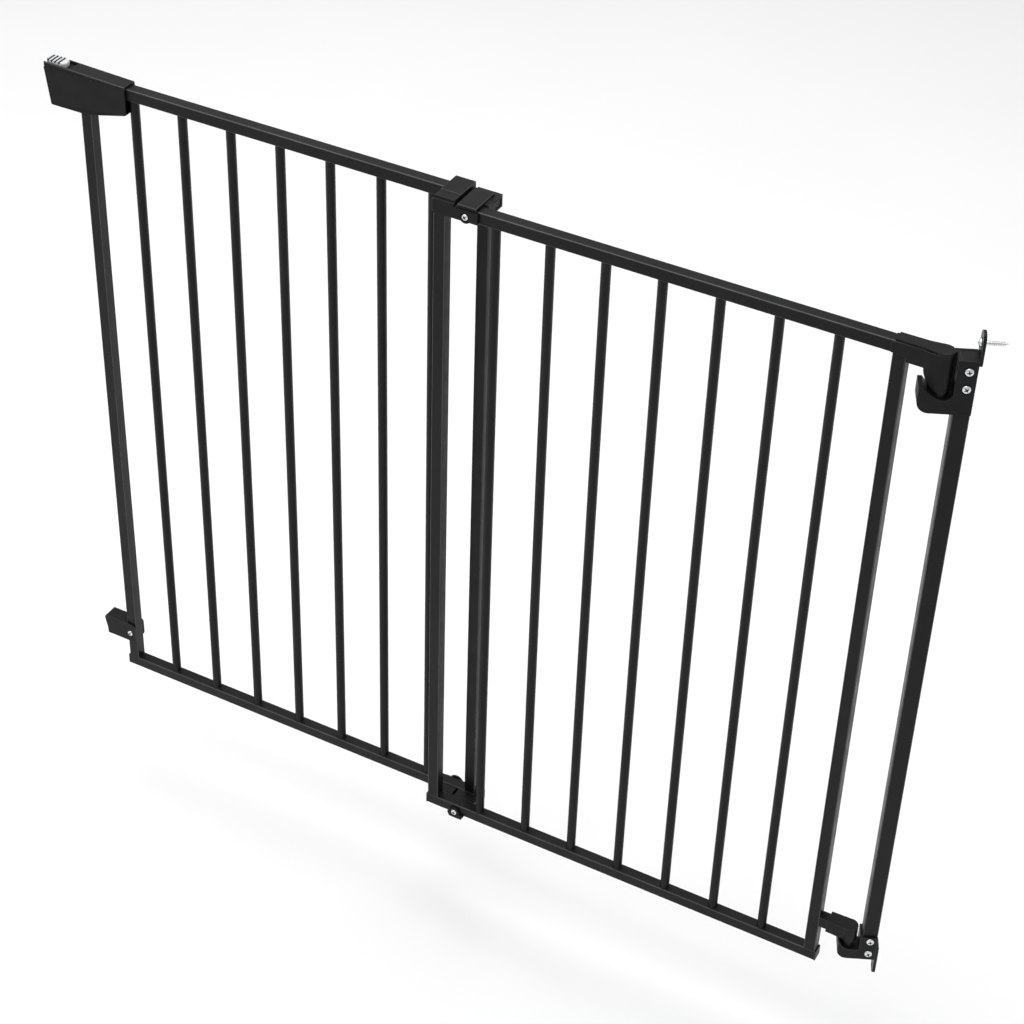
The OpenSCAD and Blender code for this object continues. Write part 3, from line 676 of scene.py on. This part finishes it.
def screws():
    """Every screw. Those through the gate and brackets face the front (-1) or the back (1)."""
    spins = random.Random(4)
    sets = (("bracket_screws", wall, -1, LARGE_HEAD), ("guide_screws", gate, -1, SMALL_HEAD),
            ("width_lock_screws", gate, 1, LARGE_HEAD), ("housing_screws", gate, 1, LARGE_HEAD),
            ("catch_block_screw", gate, -1, SMALL_HEAD))
    for node, space, facing, head in sets:
        for i, (low, high) in enumerate(solids_in(node, space)):
            seat = (low + high) / 2
            seat.y = low.y + head[1] if facing < 0 else high.y - head[1]
            place_screw(f"{piece_name(node)}-{i + 1}", node, space, seat, (0, facing, 0),
                        spins.uniform(0, math.pi / 2), head, 4 * MM, high.y - low.y - head[1])
    low, high = box_in("wall_screw", wall)
    seat = (low + high) / 2
    seat.x = low.x + WALL_HEAD[1]
    place_screw("wall-screw", "wall_screw", wall, seat, (-1, 0, 0), 0.4, WALL_HEAD, 4.4 * MM,
                high.x - low.x - WALL_HEAD[1], threaded=True)


# ------------------------------------------------------------------ mouldings

def mouldings():
    """Every moulded or pressed part, with the radii of its edges."""
    seam = 0.55 * MM
    top = (0.7 * MM, touches(Z, 1))
    near_top = (0.7 * MM, touches(Z, 1, False))
    soften("latch_housing_front", gate, PLASTIC,
           [outline(1.8 * MM, -1), (seam, touches(Z, 1)), rim(0.9 * MM, -1)])
    soften("latch_housing_rear", gate, PLASTIC, [rim_and_outline(1.1 * MM, 1)])
    soften("latch_cover", gate, PLASTIC, [(seam, touches(Z, -1)), (0.9 * MM, touches(Z, 1, False))])
    soften("catch_block", gate, PLASTIC,
           [rim_and_outline(0.9 * MM, -1), rim_and_outline(0.9 * MM, 1)])
    for bracket in ("upper_wall_bracket", "lower_wall_bracket"):
        soften(bracket, wall, PLASTIC, [rim_and_outline(0.8 * MM, -1), rim_and_outline(0.8 * MM, 1)])
    soften("upper_hinge_arm", gate, PLASTIC, [], rest=0.5 * MM)
    soften("upper_hinge_cover", gate, PLASTIC, [top])
    soften("lower_hinge_arm", gate, PLASTIC, [(0.8 * MM, touches(Z, 1))], rest=0.5 * MM)
    soften("top_guide", gate, PLASTIC, [near_top], rest=0.3 * MM)
    soften("bottom_guide", gate, PLASTIC, [], rest=0.4 * MM)
    soften("top_slide_cap", gate, PLASTIC,
           [(1.6 * MM, both_of(along_axis(Y), touches(X, 1))),
            (1.6 * MM, both_of(along_axis(Z), touches(X, 1))), near_top], rest=0.3 * MM)
    soften("bottom_slide_cap", gate, PLASTIC, [], rest=0.35 * MM)
    soften("hinge_rail_plugs", gate, PLASTIC, [], rest=0.5 * MM)
    soften("latch_rail_plugs", gate, PLASTIC, [], rest=0.5 * MM)
    soften("wall_post_cap", wall, PLASTIC, [], rest=0.5 * MM)
    for plate in ("upper_wall_plate", "lower_wall_plate"):
        soften(plate, wall, COAT, [], rest=0.35 * MM)


# ------------------------------------------------------------------ thumb button

BUTTON_BLOCK_H = 5.4 * MM


def button_block(low, high):
    """A block with round ends and a rounded rim, whose plain end slopes down."""
    corner = 5.5 * MM
    rounding = 1.3 * MM
    slope_l = 8 * MM
    slope_drop = 1.2 * MM
    steps = 5
    floor = high.z - BUTTON_BLOCK_H
    centre = (low + high) / 2
    half = (high - low) / 2
    rows = [(0.0, floor)]
    for i in range(steps + 1):
        angle = math.pi / 2 * i / steps
        rows.append((rounding * (1 - math.cos(angle)),
                     high.z - rounding + rounding * math.sin(angle)))
    bm = bmesh.new()
    rings = []
    for inset, z in rows:
        ring = []
        for a, b in rounded_square(half.x - inset, half.y - inset, corner - inset, 8):
            x = centre.x + a
            drop = max(0.0, (x - (high.x - slope_l)) / slope_l) ** 2 * slope_drop
            ring.append(bm.verts.new((x, centre.y + b, max(z - drop, floor))))
        rings.append(ring)
    bridge_all(bm, rings)
    bm.faces.new(list(reversed(rings[0])))
    bmesh.ops.contextual_create(bm, geom=rings[-1])
    bmesh.ops.recalc_face_normals(bm, faces=bm.faces)
    return bm


def groove_cutter(low, high):
    """Oval rods across the button: four deep thumb grooves and a faint fifth."""
    first = 4.0 * MM
    pitch = 4.2 * MM
    half_w = 1.3 * MM
    depths = (2.0 * MM, 2.0 * MM, 2.0 * MM, 2.0 * MM, 0.45 * MM)
    above = 0.2 * MM
    overhang = 2 * MM
    sides = 16
    bm = bmesh.new()
    for i, depth in enumerate(depths):
        rows = []
        for y in (low.y - overhang, high.y + overhang):
            ring = []
            for s in range(sides):
                angle = 2 * math.pi * s / sides
                ring.append(bm.verts.new((low.x + first + pitch * i + half_w * math.cos(angle), y,
                                          high.z + above + (depth + above) * math.sin(angle))))
            rows.append(ring)
        bridge(bm, rows[0], rows[1])
        bm.faces.new(rows[0])
        bm.faces.new(list(reversed(rows[1])))
    bmesh.ops.recalc_face_normals(bm, faces=bm.faces)
    return bm


def paint_groove_shade(bm, low, high):
    """Gives the walls of the deep grooves the dark groove material: painted shade inside the grooves."""
    centre_y = (low.y + high.y) / 2
    half_y = (high.y - low.y) / 2
    last_groove = low.x + 18.5 * MM
    bottom = high.z - BUTTON_BLOCK_H + 1.5 * MM
    for face in bm.faces:
        middle = face.calc_center_median()
        inside = abs(middle.y - centre_y) < half_y - 0.2 * MM and middle.x < last_groove
        if inside and bottom < middle.z < high.z - 0.35 * MM:
            face.material_index = 1


def add_stem(bm, low, high):
    """The stem under the block that carries it on the slider."""
    centre_y = (low.y + high.y) / 2
    half_w = 2.2 * MM
    into_block = 0.5 * MM
    stem_low = Vector((low.x + 7.6 * MM, centre_y - half_w, low.z))
    stem_high = Vector((low.x + 15.6 * MM, centre_y + half_w, high.z - BUTTON_BLOCK_H + into_block))
    for vert in bmesh.ops.create_cube(bm, size=1.0)["verts"]:
        for i in range(3):
            vert.co[i] = stem_low[i] if vert.co[i] < 0 else stem_high[i]


def button():
    """The thumb button: grooved block on its stem."""
    low, high = box_in("latch_button", gate)
    bm = minus(button_block(low, high), groove_cutter(low, high))
    paint_groove_shade(bm, low, high)
    lowest = high.z - BUTTON_BLOCK_H + 1 * MM
    sharp = [e for e in bm.edges if is_sharp(e, 40) and is_convex(e)
             and min(v.co.z for v in e.verts) > lowest]
    bmesh.ops.bevel(bm, geom=sharp, offset=0.16 * MM, segments=2, profile=0.5, affect="EDGES",
                    clamp_overlap=True)
    add_stem(bm, low, high)
    weighted_normals(
        finish_piece(bm, "latch-button", gate, "latch_button", [BUTTON, GROOVE_SHADE], 35))


# ------------------------------------------------------------------ parts inside the latch and hinge

def spring():
    """Round-wire compression spring."""
    low, high = box_in("latch_spring", gate)
    middle = (low + high) / 2
    wire_r = 0.35 * MM
    coil_r = (high.z - low.z) / 2 - wire_r
    turns = 5
    per_turn = 28
    sides = 10
    length = high.x - low.x - 2 * wire_r
    bm = bmesh.new()
    rings = []
    for i in range(turns * per_turn + 1):
        angle = 2 * math.pi * i / per_turn
        out = Vector((0, math.cos(angle), math.sin(angle)))
        x = low.x + wire_r + length * i / (turns * per_turn)
        centre = Vector((x, middle.y, middle.z)) + out * coil_r
        ring = []
        for s in range(sides):
            turn = 2 * math.pi * s / sides
            round_wire = out * math.cos(turn) + Vector((math.sin(turn), 0, 0))
            ring.append(bm.verts.new(centre + round_wire * wire_r))
        rings.append(ring)
    bridge_all(bm, rings)
    bm.faces.new(rings[0])
    bm.faces.new(rings[-1])
    piece = finish_piece(bm, "latch-spring", gate, "latch_spring", [ZINC], 60)
    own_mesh(piece)


def inner_parts():
    """Parts that only show through gaps keep their CAD mesh and get a material."""
    for node, surface in (("upper_hinge_bush", NYLON), ("lower_hinge_bush", NYLON),
                          ("upper_hinge_pin", ZINC), ("lower_hinge_pin", ZINC),
                          ("latch_slider", PLASTIC)):
        mesh = frame["nodes"][node].data
        mesh.materials.clear()
        mesh.materials.append(surface)


# ------------------------------------------------------------------ studio

def camera():
    """Looks down on the gate from the front, as the product photograph does."""
    place = (-0.32093, -1.69995, 1.88163)
    azimuth = math.radians(2.2545)
    elevation = math.radians(37.893)
    roll = math.radians(2.042)
    made = bpy.data.cameras.new("camera")
    made.sensor_width = 36
    made.lens = 85.4
    made.clip_start = 0.05
    made.clip_end = 50
    holder = bpy.data.objects.new("camera", made)
    bpy.context.scene.collection.objects.link(holder)
    holder.matrix_world = (Matrix.Translation(place) @ Matrix.Rotation(azimuth, 4, "Z")
                           @ Matrix.Rotation(math.pi / 2 - elevation, 4, "X")
                           @ Matrix.Rotation(roll, 4, "Z"))
    bpy.context.scene.camera = holder


def softbox(name, offset_x, offset_y, height, width, depth, power):
    """A soft area light beside or over the gate, aimed at its middle."""
    target = (cad_box[0] + cad_box[1]) / 2
    place = Vector((target.x + offset_x, target.y + offset_y, height))
    lamp = bpy.data.lights.new(name, "AREA")
    lamp.shape = "RECTANGLE"
    lamp.size = width
    lamp.size_y = depth
    lamp.energy = power
    holder = bpy.data.objects.new(name, lamp)
    bpy.context.scene.collection.objects.link(holder)
    holder.location = place
    holder.rotation_mode = "QUATERNION"
    holder.rotation_quaternion = (target - place).to_track_quat("-Z", "Y")


def floor():
    """A large pale floor a little below the gate, which hangs on its wall."""
    drop = 0.12
    half_size = 9.0
    bm = bmesh.new()
    bmesh.ops.create_grid(bm, x_segments=2, y_segments=2, size=half_size)
    mesh = bpy.data.meshes.new("floor")
    bm.to_mesh(mesh)
    bm.free()
    mesh.materials.append(FLOOR)
    made = bpy.data.objects.new("floor", mesh)
    bpy.context.scene.collection.objects.link(made)
    made.location = (0, 0, cad_box[0].z - drop)


def studio():
    """Floor, even white surroundings and three soft lights."""
    floor()
    world = bpy.data.worlds.new("studio")
    world.use_nodes = True
    background = world.node_tree.nodes["Background"]
    background.inputs["Color"].default_value = (1, 1, 1, 1)
    background.inputs["Strength"].default_value = 0.6
    bpy.context.scene.world = world
    softbox("softbox_top", -0.4, 0.3, height=3.2, width=3.2, depth=3.2, power=88)
    softbox("softbox_left", -3.0, -0.6, height=1.6, width=2.0, depth=2.2, power=9)
    softbox("softbox_right", 3.0, -0.4, height=1.4, width=2.0, depth=2.2, power=5)
    bpy.context.scene.view_settings.view_transform = "Standard"


tubes()
screws()
mouldings()
button()
spring()
inner_parts()
camera()
studio()
